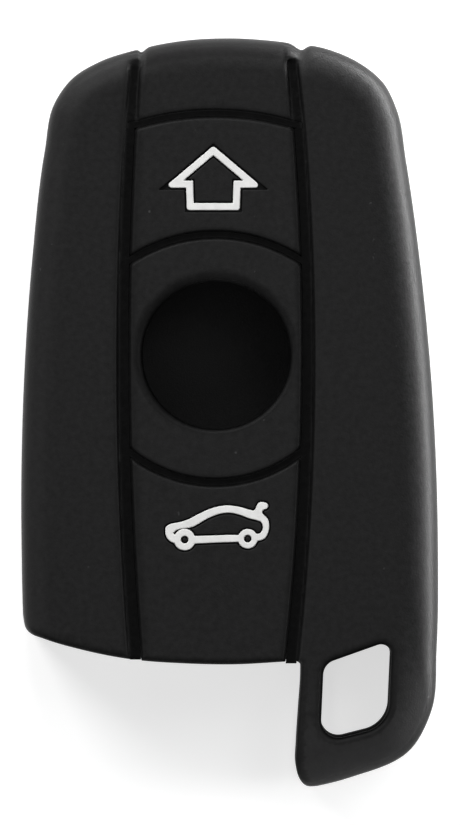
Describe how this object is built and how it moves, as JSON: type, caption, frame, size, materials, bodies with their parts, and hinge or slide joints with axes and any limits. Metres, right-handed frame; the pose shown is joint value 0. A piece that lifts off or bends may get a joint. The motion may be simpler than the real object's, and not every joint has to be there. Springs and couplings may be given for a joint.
{
  "type": "key fob cover",
  "caption": "Moulded silicone cover for a slot-type car remote: crowned front with flexing press pads, a round window, an open mouth and a key-ring loop.",
  "frame": {"origin": "on the flat back, under the middle of the cover's overall width and length", "axes": "+X across the cover towards the ring loop's side, +Y along it towards the closed end, +Z out of the button side"},
  "size_m": [0.0434, 0.078, 0.015],
  "materials": {
    "black_silicone": "fine matte moulded silicone",
    "white_silicone": "matte white silicone ink, filled into the pockets"
  },
  "bodies": {
    "cover": {"sleeve": "black_silicone", "unlock_web": "black_silicone", "lock_web": "black_silicone", "boot_web": "black_silicone"},
    "unlock_button": {"unlock_pad": "black_silicone", "unlock_arrow": "white_silicone"},
    "lock_button": {"lock_pad": "black_silicone"},
    "boot_button": {"boot_pad": "black_silicone", "boot_pictogram": "white_silicone"}
  },
  "joints": [
    {"name": "unlock_press", "type": "slide", "parent": "cover", "child": "unlock_button", "axis": [0, 0, -1], "range_m": [0, 0.0006], "stiffness_N_per_m": 1200, "deforming": ["unlock_web"]},
    {"name": "lock_press", "type": "slide", "parent": "cover", "child": "lock_button", "axis": [0, 0, -1], "range_m": [0, 0.0006], "stiffness_N_per_m": 1200, "deforming": ["lock_web"]},
    {"name": "boot_press", "type": "slide", "parent": "cover", "child": "boot_button", "axis": [0, 0, -1], "range_m": [0, 0.0006], "stiffness_N_per_m": 1200, "deforming": ["boot_web"]}
  ]
}
